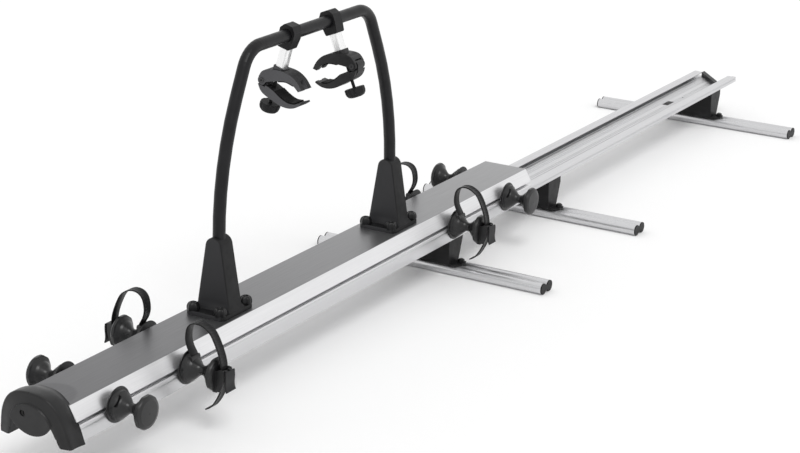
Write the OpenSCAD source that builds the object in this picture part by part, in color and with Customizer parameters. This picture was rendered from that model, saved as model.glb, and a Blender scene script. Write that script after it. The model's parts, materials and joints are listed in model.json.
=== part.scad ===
// Slide-out bike carrier: a hoop with two frame clamps stands on a beam that slides along a roof rail.
// X runs along the rail, Y across it and Z up. The beam is shown pulled out towards -X.

/* [Cross bars] */
// Length of each cross bar
bar_length = 700; // [560:10:1100]
// Diameter of each of the two tubes that make a bar
bar_d = 30; // [26:1:36]
// Distance between the two tube centres
bar_tube_gap = 34; // [32:1:40]
// Wall of the tubes
bar_wall = 2.4; // [1.5:0.1:4]
// Thickness of the solid web that joins the tubes
bar_web_h = 14; // [10:1:18]
// Position of the front bar along the rail, from the rail's front end
bar_first = 52; // [48:1:150]
// Distance from the front bar to the middle bar
bar_step_1 = 582; // [450:1:700]
// Distance from the middle bar to the rear bar
bar_step_2 = 1200; // [900:1:1250]
// Thickness of the end plugs
plug_t = 3; // [2:0.5:5]
// Distance of the vehicle mounting holes from the centre line
mount_hole_y = 280; // [200:5:300]
// Radius of the vehicle mounting holes
mount_hole_r = 4.2; // [3:0.1:5]

/* [Brackets] */
// Height of the brackets between bar and rail
bracket_h = 85.6; // [70:0.1:110]
// Width of the brackets across the rail
bracket_w = 150; // [130:1:152]
// Length of a bracket at its foot
bracket_foot_l = 49; // [44:1:60]
// Length of a bracket under the rail
bracket_head_l = 73; // [60:1:90]
// Wall of the brackets
bracket_wall = 5; // [4:0.5:8]
// Width of the flange beside the bracket
flange_w = 27; // [24:1:40]
// Thickness of the flange
flange_t = 5; // [3:0.5:8]
// Radius of the bracket bolts
bracket_bolt_r = 4; // [3:0.5:5]
// Radius of the bracket bolt heads
bolt_head_r = 10.5; // [8:0.5:12]
// Height of the bracket bolt heads
bolt_head_h = 9; // [6:1:14]

/* [Rail] */
// Length of the rail
rail_length = 2000; // [1700:10:2400]
// Distance from the rail's front end to the beam's rear end as shown
overlap = 460; // [300:5:600]
// Width of the rail
rail_w = 153; // [148:1:156]
// Height of the rail
rail_h = 17.5; // [16:0.5:22]
// Thickness of the rail's floor
rail_floor_t = 3.8; // [3:0.1:5]
// Thickness of the rail's lips
rail_lip_t = 2.5; // [2:0.1:3]
// Thickness of the rail's side walls
rail_side_t = 3.2; // [2.5:0.1:4]
// Width of the raised rib on top of each lip
rail_rib_w = 14; // [8:1:20]
// Width of the open channel between the lips
channel_w = 92; // [84:1:96]
// Distance from the rail's rear end to the oblique stop's rear corner
stop_back = 10; // [4:1:60]
// Distance along the rail that the oblique stop covers
stop_run = 106; // [60:1:140]
// Thickness of the oblique stop
stop_t = 15; // [10:1:20]

/* [Catch] */
// Distance from the beam's rear end to the catch's tooth
catch_from_end = 1130; // [700:5:1240]
// Length of the catch window
catch_window_l = 52; // [44:1:70]
// Width of the catch window
catch_window_w = 22; // [18:1:30]

/* [Beam] */
// Length of the beam
beam_length = 2010; // [1800:10:2400]
// Width of the beam's flat top
beam_top_w = 130.4; // [110:0.4:140]
// Height of the beam's top above the running web's underside
beam_box_h = 34.2; // [28:0.2:44]
// Width over the T-slot lips
beam_slot_w = 168; // [164:0.5:176]
// Width over the skirts
beam_skirt_w = 176.6; // [174:0.2:184]
// Depth of the skirts below the web
skirt_h = 47; // [40:0.5:54]
// Wall of the skirts
skirt_t = 3; // [2.4:0.1:4]
// Wall of the box
beam_wall = 2.6; // [2:0.1:4]
// Thickness of the running web
web_t = 3; // [2.5:0.1:5]
// Height of the T-slot's mouth
slot_mouth = 8.8; // [8.6:0.1:10]
// Height of the T-slot's chamber
slot_chamber_h = 17; // [15:0.5:18]
// Depth of the T-slot's chamber
slot_chamber_d = 7; // [6:0.5:9]

/* [Rollers] */
// Diameter of the front rollers
front_roller_d = 20; // [18:0.5:26]
// Width of the front rollers
front_roller_w = 15; // [10:1:17]
// Width of the rear rollers
rear_roller_w = 17; // [10:1:20]
// Length of the carriage
carriage_l = 110; // [90:1:140]
// Distance from the beam's rear end to the carriage's rear face
carriage_back = 5; // [2:1:40]

/* [Cap] */
// Width of the cap
cap_w = 198; // [190:1:206]
// Height of the cap
cap_h = 110; // [104:1:124]
// Length of the cap's rim along the beam
cap_rim_l = 42; // [26:1:50]
// How far the cap's face stands in front of its rim
cap_nose = 7; // [5:1:24]
// Wall of the cap
cap_wall = 4; // [3:0.5:6]
// Depth of the beam's end inside the cap
cap_grip = 8; // [6:1:20]
// Width of the lens-shaped boss on the cap's face
boss_w = 108; // [80:1:130]
// Radius of the key lock
lock_r = 7; // [5:0.5:9]

/* [Hoop] */
// Diameter of the hoop's tube
hoop_d = 30; // [25:1:36]
// Wall of the hoop's tube
hoop_wall = 2; // [1.5:0.1:4]
// Distance between the hoop's legs at the feet
hoop_w = 750; // [600:5:900]
// Distance from the beam's front end to the hoop's front leg
hoop_front = 618.5; // [450:0.5:760]
// Height of the crossbar's centre above the beam's top
hoop_h = 594; // [500:1:760]
// Bend radius of the long gentle bend of each leg
leg_bend_r = 750; // [600:10:800]
// Angle of the long gentle bend
leg_bend_a = 25; // [15:1:27]
// Bend radius of the top corners
corner_r = 70; // [50:1:110]

/* [Feet] */
// Length of a foot's plate
foot_l = 126; // [118:1:150]
// Width of a foot's plate
foot_w = 108; // [100:1:120]
// Thickness of a foot's plate
foot_t = 10; // [4:1:12]
// Height of a foot
foot_h = 172; // [140:1:220]
// Length of a foot's top
foot_top_l = 48; // [44:1:56]
// Width of a foot's top
foot_top_w = 45; // [40:1:60]
// Diameter of the foot bolts' heads
foot_bolt_d = 32; // [18:1:34]
// Height of the foot bolts' heads
foot_bolt_h = 17; // [8:1:24]

/* [Clamps] */
// Position of the first clamp from the front leg
clamp_1_x = 287.8; // [240:0.1:320]
// Position of the second clamp from the front leg
clamp_2_x = 464.1; // [400:0.1:510]
// Swing of the first clamp
clamp_1_swing = 15.6; // [0:0.1:30]
// Swing of the second clamp
clamp_2_swing = 21.5; // [0:0.1:30]
// How much shorter the second clamp's arm is set
clamp_2_lift = 10; // [0:1:12]
// Width of a collar along the crossbar
collar_l = 33; // [30:1:60]
// Length of the arm from the crossbar's centre to its end
arm_l = 100; // [96:1:120]
// Size of the arm's section along the crossbar
arm_x = 24; // [18:1:28]
// Size of the arm's section across the crossbar
arm_y = 26; // [18:1:28]
// Width of the jaws along the crossbar
jaw_w = 42; // [36:1:56]
// Width of the gap between the jaws' ears
jaw_gap = 26; // [20:1:28]
// Thickness of the rubber pads
pad_t = 3; // [2:0.5:4]
// Radius of the hinge pin
jaw_pin_r = 4; // [3:0.5:5]
// Radius of the knob
knob_r = 25; // [20:1:28]
// Height of the knob
knob_h = 24; // [18:1:30]
// Radius of the knob's screw
screw_r = 4; // [3:0.5:5]

/* [Spools] */
// Radius of the spool's inner flange
spool_inner_r = 40; // [34:1:46]
// Radius of the spool's outer flange
spool_outer_r = 38; // [30:1:44]
// Radius of the spool's neck
spool_neck_r = 11; // [9:0.5:16]
// Length of the spool
spool_l = 84; // [76:1:96]
// Radius of the spool's bolt
spool_bolt_r = 4; // [3:0.1:4]
// Length of the T-nut
nut_l = 25; // [18:1:40]

/* [Straps] */
// Width of the straps
strap_w = 25; // [18:1:28]
// Thickness of the straps
strap_t = 3; // [2:0.5:4]
// Height of the strap's loop above the spool's axis
strap_rise = 109; // [90:1:140]
// Width of the buckle's lever
lever_w = 34; // [30:1:40]
// Thickness of the buckle's cheeks
cheek_t = 3; // [2:0.5:4]

/* [Hidden] */
$fn = 64;

// Clearance between pieces that move past each other
gap = 0.3;
// Clearance of a piece that is fixed in its seat
fit = 0.1;
// How far cutting shapes run past what they cut
over = 1;
// Steps of a rounded corner
corner_steps = 6;

// Levels, from the floor that the bars stand on
rail_bottom = bar_d + bracket_h;
rail_top = rail_bottom + rail_h;
rail_floor_top = rail_bottom + rail_floor_t;
lip_bottom = rail_top - rail_lip_t;
roller_base_t = 1.5;
roller_base_gap = 0.4;
web_under = rail_top + roller_base_t + roller_base_gap + front_roller_d;
beam_top = web_under + beam_box_h;
slot_z = web_under - 4;
skirt_bottom = web_under - skirt_h;
crossbar_z = beam_top + hoop_h;

// Places along the rail: the beam's rear end is the working zero
rail_front = -overlap;
rail_rear = rail_length - overlap;
beam_front = -beam_length;
bar_x = [for (along = [0, bar_step_1, bar_step_1 + bar_step_2]) rail_front + bar_first + along];
leg_x = [beam_front + hoop_front, beam_front + hoop_front + hoop_w];
clamp_x = [leg_x[0] + clamp_1_x, leg_x[0] + clamp_2_x];
cap_rear = beam_front + cap_grip;
// How far the cap's face leans forward for each millimetre of height
cap_lean = 0.13;
cap_lean_a = atan(cap_lean);
// Lens-shaped boss: height of its middle above the cap's foot, rise of each arc and thickness
boss_up = 52;
boss_rise = 35;
boss_t = 4;
boss_x = cap_rear - cap_rim_l - cap_nose - cap_lean * boss_up;
cap_front = boss_x - boss_t * cos(cap_lean_a) - boss_rise * sin(cap_lean_a);
catch_x = catch_from_end;

// The model's origin lies under the middle of its whole length
middle_x = (cap_front + rail_rear) / 2;

// Spools: place along the beam, side and strap, two on each side of every wheel
spool_list = [
    [beam_front + 128.5, -1, false], [beam_front + 377.8, -1, true], [-443.3, -1, true], [-153.3, -1, false],
    [beam_front + 173, 1, false], [beam_front + 465, 1, true], [-353, 1, true], [-93, 1, false]
];

function unit(v) = v / norm(v);
// Points of the arc that rounds the corner b between a and c
function corner(a, b, c, r) =
    let (
        u = unit(a - b),
        w = unit(c - b),
        half = acos(u * w) / 2,
        start = b + u * r / tan(half),
        finish = b + w * r / tan(half),
        centre = b + unit(u + w) * r / sin(half),
        from = atan2(start[1] - centre[1], start[0] - centre[0]),
        to = atan2(finish[1] - centre[1], finish[0] - centre[0]),
        sweep = (to - from + 540) % 360 - 180
    )
    [for (i = [0:corner_steps]) let (a = from + sweep * i / corner_steps) centre + r * [cos(a), sin(a)]];
// Outline with every corner rounded by its own radius; a radius of zero keeps the corner
function rounded(points, radii) =
    let (n = len(points))
    [for (i = [0:n - 1])
        let (before = points[(i + n - 1) % n], after = points[(i + 1) % n])
        for (p = radii[i] > 0 ? corner(before, points[i], after, radii[i]) : [points[i]]) p];
// Point on a smooth curve through four points, between b and c
function spline_point(a, b, c, d, t) =
    0.5 * (2 * b + (c - a) * t + (2 * a - 5 * b + 4 * c - d) * t * t + (3 * b - a - 3 * c + d) * t * t * t);
// Smooth open curve through all points
function spline(points, steps) =
    let (n = len(points))
    concat([for (i = [0:n - 2], s = [0:steps - 1])
        spline_point(points[max(i - 1, 0)], points[i], points[i + 1], points[min(i + 2, n - 1)], s / steps)],
        [points[n - 1]]);
// Offset of an open curve to one side
function beside(path, d) =
    let (n = len(path))
    [for (i = [0:n - 1])
        let (t = unit(path[min(i + 1, n - 1)] - path[max(i - 1, 0)]))
        path[i] + d * [-t[1], t[0]]];
function reversed(v) = [for (i = [len(v) - 1:-1:0]) v[i]];
// Band of even thickness along an open curve
function band(path, t) = concat(beside(path, t / 2), reversed(beside(path, -t / 2)));
function mirrored(points) = concat(points, reversed([for (p = points) [-p[0], p[1]]]));

// Moves the working frame to the model's frame
module placed() { translate([-middle_x, 0, 0]) children(); }
// Extrudes a section drawn in Y and Z along X
module along_x(from, length) { translate([from, 0, 0]) rotate([90, 0, 90]) linear_extrude(length) children(); }
// Extrudes a side view drawn in X and Z along Y
module along_y(from, length) {
    translate([0, from + length, 0]) rotate([90, 0, 0]) linear_extrude(length) children();
}
module rod_x(from, length, r) { translate([from, 0, 0]) rotate([0, 90, 0]) cylinder(h = length, r = r); }
module rod_y(from, length, r) { translate([0, from, 0]) rotate([-90, 0, 0]) cylinder(h = length, r = r); }

// Cross bars

module bar_section() {
    for (side = [-1, 1]) translate([side * bar_tube_gap / 2, bar_d / 2]) circle(d = bar_d);
    translate([-bar_tube_gap / 2, (bar_d - bar_web_h) / 2]) square([bar_tube_gap, bar_web_h]);
}
module bar_bores() {
    for (side = [-1, 1]) translate([side * bar_tube_gap / 2, bar_d / 2]) circle(d = bar_d - 2 * bar_wall);
}
module cross_bars() color("silver") placed() for (i = [0:2]) translate([bar_x[i], 0, 0]) difference() {
    along_y(-bar_length / 2 + plug_t, bar_length - 2 * plug_t) difference() {
        bar_section();
        bar_bores();
    }
    for (side = [-1, 1]) {
        translate([0, side * bracket_bolt_y, (bar_d - bar_web_h) / 2 + 3])
            cylinder(h = bar_web_h, r = bracket_bolt_r + fit);
        translate([0, side * mount_hole_y, (bar_d - bar_web_h) / 2 - over])
            cylinder(h = mount_hole_depth + over, r = mount_hole_r);
    }
}
mount_hole_depth = bar_web_h - 4;
module bar_plugs() color("black") placed() for (i = [0:2], side = [0, 1]) translate([bar_x[i], 0, 0]) mirror([0, side, 0]) {
    along_y(bar_length / 2 - plug_t, plug_t) bar_section();
    for (lobe = [-1, 1]) translate([lobe * bar_tube_gap / 2, 0, bar_d / 2])
        rod_y(bar_length / 2 - plug_t - plug_spigot_l, plug_spigot_l + over / 2, bar_d / 2 - bar_wall - fit);
}
plug_spigot_l = 14;

// Brackets

bracket_bolt_y = bracket_w / 2 + flange_w / 2 + 2.5;
bracket_front = -37.5;
module bracket_side() {
    polygon(rounded([
        [bracket_front, bar_d], [bracket_front + bracket_foot_l, bar_d],
        [bracket_front + bracket_head_l, rail_bottom - 16], [bracket_front + bracket_head_l, rail_bottom],
        [bracket_front - 3, rail_bottom], [bracket_front - 3, rail_bottom - 14]
    ], [3, 4, 6, 0, 0, 4]));
}
module bracket_pocket() {
    polygon(rounded([
        [bracket_front + bracket_wall, bar_d + flange_t], [bracket_front + bracket_foot_l - bracket_wall - 1, bar_d + flange_t],
        [bracket_front + bracket_head_l - bracket_wall - 3, rail_bottom - 20],
        [bracket_front + bracket_head_l - bracket_wall - 3, rail_bottom - bracket_wall],
        [bracket_front + bracket_wall - 3, rail_bottom - bracket_wall], [bracket_front + bracket_wall - 3, rail_bottom - 20]
    ], [3, 3, 4, 3, 3, 4]));
}
module bracket_flange(side) {
    translate([0, 0, bar_d]) linear_extrude(flange_t) mirror([0, side < 0 ? 1 : 0]) polygon(rounded([
        [bracket_front, bracket_w / 2 - 8], [bracket_front + bracket_foot_l, bracket_w / 2 - 8],
        [bracket_front + bracket_foot_l, bracket_w / 2 + 10], [14, bracket_w / 2 + flange_w],
        [-18, bracket_w / 2 + flange_w], [bracket_front, bracket_w / 2 + 8]
    ], [0, 0, 5, 8, 8, 6]));
}
module brackets() color("dimgray") placed() for (i = [0:2]) translate([bar_x[i], 0, 0]) difference() {
    union() {
        along_y(-bracket_w / 2, bracket_w) bracket_side();
        for (side = [-1, 1]) bracket_flange(side);
    }
    for (side = [0, 1]) mirror([0, side, 0])
        along_y(bracket_wall / 2, bracket_w / 2 - bracket_wall * 1.5) bracket_pocket();
    for (side = [-1, 1]) translate([0, side * bracket_bolt_y, bar_d - over])
        cylinder(h = flange_t + 2 * over, r = bracket_bolt_r + fit);
    for (side = [-1, 1], end = [-1, 1])
        translate([rail_screw_x + end * rail_screw_gap / 2, side * rail_screw_y, rail_bottom - bracket_wall - over])
        cylinder(h = bracket_wall + 2 * over, r = 3.2);
}
rail_screw_x = 0;
rail_screw_gap = 36;
rail_screw_y = 30;
module bracket_bolts() color("black") placed() for (i = [0:2], side = [-1, 1])
    translate([bar_x[i], side * bracket_bolt_y, bar_d + flange_t]) {
        cylinder(h = 2, r = bolt_head_r);
        translate([0, 0, 2]) cylinder(h = bolt_head_h - 4, r = bolt_head_r - 1.5, $fn = 6);
        translate([0, 0, bolt_head_h - 2]) cylinder(h = 2, r1 = bolt_head_r - 2.6, r2 = bolt_head_r - 5);
        translate([0, 0, -flange_t - bar_web_h / 2]) cylinder(h = flange_t + bar_web_h / 2, r = bracket_bolt_r);
    }

// Rail

lip_in = channel_w / 2;
module rail_half_section() {
    polygon([
        [0, rail_bottom], [rail_w / 2 - 2, rail_bottom], [rail_w / 2, rail_bottom + 2],
        [rail_w / 2, rail_top - 6.4], [rail_w / 2 - 1.2, rail_top - 6], [rail_w / 2 - 1.2, rail_top - 4.2],
        [rail_w / 2, rail_top - 3.8], [rail_w / 2, rail_top - 1.5], [rail_w / 2 - 1.5, rail_top],
        [rail_w / 2 - rail_rib_w, rail_top], [rail_w / 2 - rail_rib_w - 1.2, rail_top - 1],
        [lip_in + 1, rail_top - 1], [lip_in, rail_top - 1.8], [lip_in, lip_bottom - 0.6], [lip_in + 2, lip_bottom - 0.6],
        [lip_in + 2.6, lip_bottom], [rail_w / 2 - rail_side_t - 0.8, lip_bottom], [rail_w / 2 - rail_side_t, lip_bottom - 0.8],
        [rail_w / 2 - rail_side_t, rail_floor_top + 0.8], [rail_w / 2 - rail_side_t - 0.8, rail_floor_top],
        [lip_in + 0.6, rail_floor_top], [lip_in, rail_floor_top + 0.6], [lip_in - 2, rail_floor_top + 0.6],
        [lip_in - 2.6, rail_floor_top], [0, rail_floor_top]
    ]);
    for (y = rail_floor_ribs) translate([y, rail_floor_top - 0.2]) square([2, 1]);
}
rail_floor_ribs = [9, 16, 25, 34];
module rail_section() { for (side = [0, 1]) mirror([side, 0]) rail_half_section(); }
stop_rear_x = rail_rear - stop_back;
stop_near_x = stop_rear_x - stop_run;
// Plan of a slanted strip across the channel, from the near side to the far side
function slanted(from, to, half) = [
    [stop_near_x + from, -half], [stop_near_x + to, -half], [stop_rear_x + to, half], [stop_rear_x + from, half]
];
module rail() color("gainsboro") placed() difference() {
    along_x(rail_front, rail_length) rail_section();
    translate([0, 0, rail_bottom - over]) linear_extrude(rail_floor_t + 2.5)
        polygon([
            [stop_near_x + stop_skew, -lip_in], [rail_rear + over, -lip_in],
            [rail_rear + over, lip_in], [stop_rear_x + stop_skew, lip_in]
        ]);
    translate([catch_x, catch_y, rail_bottom - over]) linear_extrude(rail_floor_t + 3)
        polygon(rounded(box_points(catch_window_l, catch_window_w), [3, 3, 3, 3]));
    translate([catch_x + 93, catch_y - 11, rail_bottom - over]) cylinder(h = rail_floor_t + 3, r = 4);
}
// Length of the stop's section along the rail
stop_skew = stop_t * norm([stop_run, channel_w]) / channel_w;
function box_points(l, w) = [[-l / 2, -w / 2], [l / 2, -w / 2], [l / 2, w / 2], [-l / 2, w / 2]];
module end_stop() color("black") placed() {
    translate([0, 0, rail_floor_top + 0.8]) linear_extrude(rail_h - rail_floor_t - 0.8)
        polygon([
            [stop_near_x, -lip_in + 0.1], [stop_near_x + stop_skew, -lip_in + 0.1],
            [stop_rear_x + stop_skew, lip_in - 0.1], [stop_rear_x, lip_in - 0.1]
        ]);
}

// Catch in the rail's floor

catch_y = -6;
catch_pin_r = 2;
catch_pin_x = -catch_window_l / 2 + 9;
catch_frame_t = 3;
catch_frame_h = 14;
catch_pin_z = rail_bottom - 4;
module catch_frame() color("dimgray") placed() translate([catch_x, catch_y, 0]) {
    difference() {
        translate([0, 0, rail_bottom - catch_frame_h]) linear_extrude(catch_frame_h)
            polygon(rounded(box_points(catch_window_l + 14, catch_window_w + 14), [4, 4, 4, 4]));
        translate([0, 0, rail_bottom - catch_frame_h + catch_frame_t]) linear_extrude(catch_frame_h)
            polygon(box_points(catch_window_l, catch_window_w));
    }
    translate([catch_pin_x, 0, catch_pin_z]) rod_y(-catch_window_w / 2 - 2, catch_window_w + 4, catch_pin_r);
}
module catch() color("black") placed() translate([catch_x, catch_y, 0]) difference() {
    along_y(-catch_body_w / 2, catch_body_w) difference() {
        union() {
            translate([catch_pin_x, catch_pin_z]) circle(r = 4.5);
            polygon(rounded([
                [catch_pin_x - 3, catch_pin_z - 1], [catch_window_l / 2 - 6, catch_pin_z - 3], [catch_window_l / 2 - 3, catch_pin_z],
                [catch_window_l / 2 - 3, rail_floor_top - 1], [catch_window_l / 2 - 12, rail_floor_top + 0.6],
                [-5, rail_floor_top + 0.6], [catch_pin_x - 3, rail_floor_top - 2]
            ], [0, 2, 1, 1, 1, 1, 1]));
        }
        translate([catch_pin_x, catch_pin_z]) circle(r = catch_pin_r + 0.2);
    }
}
catch_body_w = catch_window_w - 2;

// Rollers on the rail's front end

front_roller_x = rail_front + 22;
front_axle_z = web_under - gap - front_roller_d / 2 + 0.2;
front_axle_r = 3;
roller_y = rail_w / 2 - 18;
ear_t = 2;
module roller_bracket() color("silver") placed() {
    difference() {
        translate([rail_front, -rail_w / 2 + 3, rail_top]) cube([44, rail_w - 6, roller_base_t]);
        translate([rail_front - over, -lip_in + 4, rail_top - over]) cube([30, channel_w - 8, roller_base_t + 2 * over]);
    }
    for (side = [-1, 1], end = [-1, 1]) difference() {
        translate([0, side * roller_y + end * (front_roller_w / 2 + gap + ear_t / 2) - ear_t / 2, 0])
            along_y(0, ear_t) polygon(rounded([
                [front_roller_x - 14, rail_top], [front_roller_x + 14, rail_top],
                [front_roller_x + 6, web_under - 3], [front_roller_x - 6, web_under - 3]
            ], [0, 0, 4, 4]));
        translate([front_roller_x, 0, front_axle_z]) rod_y(-rail_w, 2 * rail_w, front_axle_r);
    }
}
module roller_pin() color("silver") placed() for (side = [-1, 1])
    translate([front_roller_x, side * roller_y, front_axle_z])
        rod_y(-front_roller_w / 2 - gap - ear_t, front_roller_w + 2 * gap + 2 * ear_t, front_axle_r);
module front_rollers() color("ivory") placed() for (side = [-1, 1])
    translate([front_roller_x, side * roller_y, front_axle_z]) rotate([-90, 0, 0]) rotate_extrude()
        polygon([
            [front_axle_r + 0.1, -front_roller_w / 2], [front_roller_d / 2 - 1, -front_roller_w / 2],
            [front_roller_d / 2, -front_roller_w / 2 + 1], [front_roller_d / 2, front_roller_w / 2 - 1],
            [front_roller_d / 2 - 1, front_roller_w / 2], [front_axle_r + 0.1, front_roller_w / 2]
        ]);

// Beam

slope_y = beam_slot_w / 2;
slot_lip_t = 4.5;
chamber_out = slope_y - slot_lip_t;
chamber_in = chamber_out - slot_chamber_d;
chamber_top = slot_z + slot_chamber_h / 2;
chamber_bottom = slot_z - slot_chamber_h / 2;
skirt_y = beam_skirt_w / 2;
// Outer half outline from the top centre down to the skirt's foot
beam_outer_half = concat(
    [[0, beam_top]],
    corner([0, beam_top], [beam_top_w / 2, beam_top], [slope_y, slot_z + slot_mouth / 2], 3),
    [[slope_y, slot_z + slot_mouth / 2 + 0.8], [slope_y, slot_z - slot_mouth / 2 - 0.8],
        [slope_y + 1.2, slot_z - slot_mouth / 2 - 2.4],
     [slope_y + 1.2, slot_z - slot_mouth / 2 - 6]],
    [for (t = [0:5]) [
        slope_y + 1.2 + (skirt_y - slope_y - 1.2) * sin(90 * t / 5),
        slot_z - slot_mouth / 2 - 7 - 22 * (1 - cos(90 * t / 5))
    ]],
    [[skirt_y, skirt_bottom + 2], [skirt_y - 1, skirt_bottom]]
);
module beam_outline() { polygon(mirrored(concat(beam_outer_half, [[0, skirt_bottom]]))); }
module beam_section() {
    skirt_in = skirt_y - skirt_t;
    difference() {
        beam_outline();
        // Channel under the web
        polygon(mirrored([
            [0, web_under], [chamber_in - beam_wall - 1, web_under], [chamber_in - beam_wall, web_under - 1],
            [chamber_in - beam_wall, chamber_bottom - beam_wall], [slope_y - beam_wall - 1, chamber_bottom - beam_wall],
            [skirt_in - 0.6, chamber_bottom - beam_wall - 12], [skirt_in, chamber_bottom - beam_wall - 18],
            [skirt_in, skirt_bottom - over], [0, skirt_bottom - over]
        ]));
        // Closed box above the web
        polygon(rounded(mirrored([
            [box_rib, beam_top - beam_wall], [beam_top_w / 2 - 2, beam_top - beam_wall],
            [chamber_top_y, chamber_top + beam_wall + 1], [chamber_in - beam_wall + 1, chamber_top + beam_wall + 1],
            [chamber_in - beam_wall, web_under + web_t], [box_rib, web_under + web_t]
        ]), [0, 3, 1, 1, 1, 0, 0, 1, 1, 1, 3, 0]));
        for (side = [0, 1]) mirror([side, 0]) {
            translate([chamber_in, chamber_bottom]) square([slot_chamber_d, slot_chamber_h]);
            translate([chamber_out - over, slot_z - slot_mouth / 2]) square([slot_lip_t + 4, slot_mouth]);
        }
    }
}
// Half thickness of the upright rib in the middle of the box
box_rib = 0.02;
// Inner face of the sloping wall just above the T-slot's chamber
chamber_top_y = slope_y - beam_wall - 1.2 - (chamber_top + beam_wall + 1 - slot_z - slot_mouth / 2)
    * (slope_y - beam_top_w / 2) / (beam_top - slot_z - slot_mouth / 2);
module beam() color("silver") placed() difference() {
    along_x(beam_front, beam_length) beam_section();
    for (x = leg_x, dx = [-1, 1], dy = [-1, 1])
        translate([x + dx * foot_bolt_x, dy * foot_bolt_y, beam_top - 10]) cylinder(h = 20, r = 4 + fit);
    for (dx = [-1, 1], dy = [-1, 1])
        translate([carriage_x + dx * carriage_l * 0.36, dy * 28, web_under - over]) cylinder(h = web_t + 2 * over, r = 3.1);
}

// Carriage that hangs under the beam's rear end

carriage_rear = -carriage_back;
carriage_x = carriage_rear - carriage_l / 2;
carriage_w = channel_w - 8;
carriage_bottom = rail_floor_top + 1.2;
rear_axle_z = (rail_floor_top + lip_bottom) / 2;
rear_roller_r = (lip_bottom - rail_floor_top) / 2 - 0.35;
rear_axle_r = 2.5;
rear_roller_y = channel_w / 2 + 3;
module carriage() color("dimgray") placed() {
    difference() {
        translate([carriage_x - carriage_l / 2, -carriage_w / 2, carriage_bottom])
            cube([carriage_l, carriage_w, web_under - carriage_bottom]);
        translate([carriage_x - carriage_l / 2 + 6, -carriage_w / 2 - over, carriage_bottom + 14])
            cube([carriage_l - 12, carriage_w + 2 * over, web_under - carriage_bottom - 20]);
        translate([carriage_x, catch_y, carriage_bottom - over]) linear_extrude(16)
            polygon(box_points(carriage_window_l, catch_window_w + 6));
    }
    for (side = [-1, 1]) translate([carriage_x - 32, 0, rear_axle_z])
        rod_y(side < 0 ? -rear_roller_y - rear_roller_w - 1 : carriage_w / 2 - 2,
            rear_roller_y + rear_roller_w + 1 - carriage_w / 2 + 2, rear_axle_r);
}
carriage_window_l = catch_window_l;
module rear_rollers() color("ivory") placed() for (side = [0, 1]) mirror([0, side, 0])
    translate([carriage_x - 32, rear_roller_y, rear_axle_z]) rotate([-90, 0, 0]) rotate_extrude()
        polygon([
            [rear_axle_r + 0.1, 0], [rear_roller_r - 0.6, 0], [rear_roller_r, 0.6],
            [rear_roller_r, rear_roller_w - 0.6], [rear_roller_r - 0.6, rear_roller_w], [rear_axle_r + 0.1, rear_roller_w]
        ]);

// Cap

cap_bottom = beam_top + 24 - cap_h;
// Opening between the cap's legs
leg_gap_w = 142;
leg_gap_h = 30;
// Half outline of the arch above the cap's foot, drawn for one size and stretched to the cap's own
cap_w_drawn = 198;
cap_h_drawn = 110;
arch_line = spline([
    [99, 0], [93.5, 26], [87.3, 48], [79.5, 66], [69.5, 83], [57, 96], [40, 105.5], [20, 109.5], [0, 110]
], 3);
arch_points = [for (p = arch_line) [p[0] * cap_w / cap_w_drawn, cap_bottom + p[1] * cap_h / cap_h_drawn]];
// Size of the face's front edge against the rim's
cap_taper = 0.85;
arch_loop = mirrored([for (p = arch_points) if (p[0] > 2) p]);
// Arch at a place along the cap: its lean, its size against the rim's and how far it drops
function arch_ring(x, lean, size, drop) = [
    for (p = arch_loop)
        let (z = cap_bottom + (p[1] - cap_bottom) * size - drop)
        [x - lean * (z - cap_bottom), p[0] * size, z]
];
// Solid through arches from the rear to the front
module arch_loft(rings) {
    n = len(arch_loop);
    last = (len(rings) - 1) * n;
    polyhedron(
        points = [for (ring = rings) each ring],
        faces = concat(
            [[for (i = [n - 1:-1:0]) i]],
            [for (r = [0:len(rings) - 2], i = [0:n - 1])
                [r * n + i, r * n + (i + 1) % n, (r + 1) * n + (i + 1) % n, (r + 1) * n + i]],
            [[for (i = [0:n - 1]) last + i]]
        )
    );
}
// Boss shaped like a lens, leaning with the face
module boss() {
    boss_r = (pow(boss_w / 2, 2) + pow(boss_rise, 2)) / (2 * boss_rise);
    translate([boss_x, 0, cap_bottom + boss_up]) rotate([0, -cap_lean_a, 0])
        along_x(-boss_t, boss_t + cap_wall / 2) intersection() {
            translate([0, boss_rise - boss_r]) circle(r = boss_r, $fn = 96);
            translate([0, boss_r - boss_rise]) circle(r = boss_r, $fn = 96);
        }
}
hollow_size = 1 - 2 * cap_wall / cap_w;
module cap() color("black") placed() difference() {
    union() {
        difference() {
            arch_loft([
                arch_ring(cap_rear, 0, 1, 0), arch_ring(cap_rear - cap_rim_l, cap_lean, 1, 0),
                arch_ring(cap_rear - cap_rim_l - cap_nose, cap_lean, cap_taper, 0)
            ]);
            arch_loft([
                arch_ring(cap_rear - cap_wall, 0, hollow_size, cap_wall),
                arch_ring(cap_rear - cap_rim_l, cap_lean, hollow_size, cap_wall),
                arch_ring(cap_rear - cap_rim_l - cap_nose + cap_wall, cap_lean, hollow_size * cap_taper, cap_wall)
            ]);
            // Opening between the cap's legs
            along_x(cap_front - over, cap_rear - cap_front + 2 * over) polygon(rounded([
                [-leg_gap_w / 2, cap_bottom - over], [leg_gap_w / 2, cap_bottom - over],
                [leg_gap_w / 2, cap_bottom + leg_gap_h], [-leg_gap_w / 2, cap_bottom + leg_gap_h]
            ], [0, 0, 12, 12]));
        }
        boss();
    }
    // Seat of the beam's end
    along_x(beam_front, cap_grip + over) beam_seat();
    translate([0, lock_y, lock_z]) rod_x(cap_front - over, cap_rim_l + cap_nose, lock_r + gap);
}
module beam_seat() {
    polygon(mirrored(concat(
        [for (p = beam_outer_half) p + [p[0] > 0 ? fit : 0, p[1] > web_under ? fit : 0]],
        [[0, skirt_bottom - 20]]
    )));
}
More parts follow.
